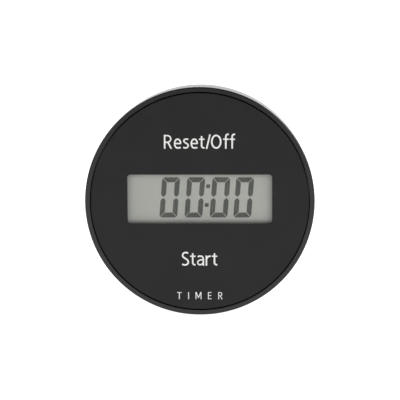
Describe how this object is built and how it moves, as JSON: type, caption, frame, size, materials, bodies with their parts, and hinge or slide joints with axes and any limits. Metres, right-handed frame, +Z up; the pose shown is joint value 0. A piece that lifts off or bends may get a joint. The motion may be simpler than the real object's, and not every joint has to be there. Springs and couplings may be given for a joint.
{
  "type": "kitchen timer",
  "caption": "Round magnetic digital kitchen timer: a turning outer ring sets the time, a rocking face with a display window starts and resets it.",
  "frame": {"origin": "centre of the flat back face, on the face that rests against a steel door", "axes": "+Z up with the captions upright, -Y out of the face towards the user, +Y out of the flat back, +X to the right as the user looks at the face"},
  "size_m": [0.076, 0.026, 0.076],
  "materials": {
    "face_plastic": "matte",
    "clear_window": "gloss",
    "ring_plastic": "satin",
    "natural_acetal": "satin",
    "black_acetal": "satin",
    "frame_plastic": "matte",
    "shell_plastic": "matte",
    "nickel_magnet": "polished",
    "screw_steel": "satin",
    "board_laminate": "satin",
    "black_epoxy": "satin",
    "tin_can": "satin",
    "capacitor_body": "satin",
    "display_glass": "gloss",
    "lcd_film": "satin",
    "reflector_film": "satin",
    "holder_plastic": "matte",
    "zebra_rubber": "matte",
    "dome_silicone": "matte",
    "pin_steel": "satin",
    "encoder_plastic": "satin",
    "buzzer_brass": "satin",
    "lead_sleeve": "satin",
    "cell_jacket": "gloss",
    "contact_spring_steel": "satin"
  },
  "bodies": {
    "case": {"glide_ring": "black_acetal", "middle_frame": "frame_plastic", "rear_housing": "shell_plastic", "magnet_1": "nickel_magnet", "magnet_2": "nickel_magnet", "magnet_3": "nickel_magnet", "magnet_4": "nickel_magnet", "housing_screws": "screw_steel", "circuit_board": "board_laminate", "board_screws": "screw_steel", "control_chip": "black_epoxy", "quartz_crystal": "tin_can", "capacitor": "capacitor_body", "resistors": "black_epoxy", "lcd_front_glass": "display_glass", "lcd_rear_glass": "display_glass", "lcd_polariser": "lcd_film", "lcd_reflector": "reflector_film", "lcd_holder": "holder_plastic", "zebra_strip_upper": "zebra_rubber", "zebra_strip_lower": "zebra_rubber", "reset_dome": "dome_silicone", "start_dome": "dome_silicone", "rocker_pin_left": "pin_steel", "rocker_pin_right": "pin_steel", "encoder_body": "encoder_plastic", "buzzer_disc": "buzzer_brass", "buzzer_retainer": "natural_acetal", "buzzer_leads": "lead_sleeve", "battery_1": "cell_jacket", "battery_2": "cell_jacket", "positive_contact": "contact_spring_steel", "negative_contact": "contact_spring_steel", "bridge_contact": "contact_spring_steel"},
    "ring": {"setting_ring": "ring_plastic", "ring_gear": "natural_acetal"},
    "encoder": {"encoder_shaft": "pin_steel", "encoder_pinion": "natural_acetal"},
    "face": {"face_plate": "face_plastic", "window_lens": "clear_window"},
    "door": {"battery_door": "shell_plastic", "door_latch": "shell_plastic"}
  },
  "joints": [
    {"name": "ring_turn", "type": "hinge", "parent": "case", "child": "ring", "pos_m": [0, -0.017, 0], "axis": [0, -1, 0], "continuous": true},
    {"name": "encoder_spin", "type": "hinge", "parent": "case", "child": "encoder", "pos_m": [0, -0.0125, -0.027], "axis": [0, -1, 0], "continuous": true},
    {"name": "face_rock", "type": "hinge", "parent": "case", "child": "face", "pos_m": [0, -0.0215, 0], "axis": [1, 0, 0], "range_deg": [-1.5, 1.5], "stiffness_Nm_per_rad": 0.4, "deforming": ["reset_dome", "start_dome"]},
    {"name": "battery_door_swing", "type": "hinge", "parent": "case", "child": "door", "pos_m": [-0.02585, -0.00015, 0], "axis": [0, 0, 1], "range_deg": [0, 35], "deforming": ["door_latch"]}
  ],
  "couplings": [
    {"joint": "encoder_spin", "follows": "ring_turn", "ratio": 5.5}
  ]
}
